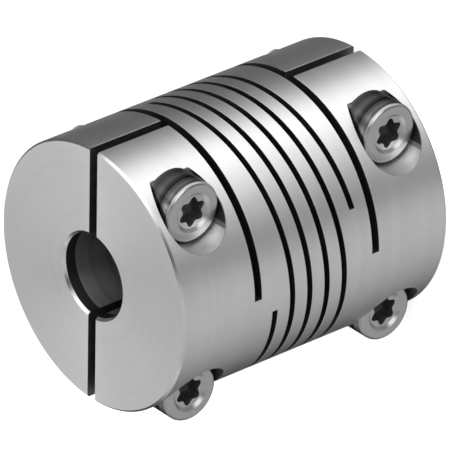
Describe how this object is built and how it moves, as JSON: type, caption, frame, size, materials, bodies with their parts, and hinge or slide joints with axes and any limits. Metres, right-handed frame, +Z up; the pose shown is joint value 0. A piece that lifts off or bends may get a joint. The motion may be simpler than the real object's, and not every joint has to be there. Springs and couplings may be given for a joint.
{
  "type": "beam coupling",
  "caption": "One-piece helical beam shaft coupling with a split clamp hub at each end, drawn tight by socket head cap screws, for joining two shafts with slight misalignment.",
  "frame": {"origin": "centre of the lower end face, which is the face the coupling stands on", "axes": "+Z up along the shaft axis; the clamp slits lie in the XZ plane; the screw heads face -Y; the cross slots open towards +X"},
  "size_m": [0.0254, 0.0254, 0.0305],
  "materials": {
    "body_aluminium": "fine turned, clear, satin sheen",
    "screw_steel": "smooth, satin"
  },
  "bodies": {
    "root": {"coupling_body": "body_aluminium", "bottom_clamp_screw_right": "screw_steel", "bottom_clamp_screw_left": "screw_steel", "top_clamp_screw_right": "screw_steel", "top_clamp_screw_left": "screw_steel"}
  },
  "joints": []
}
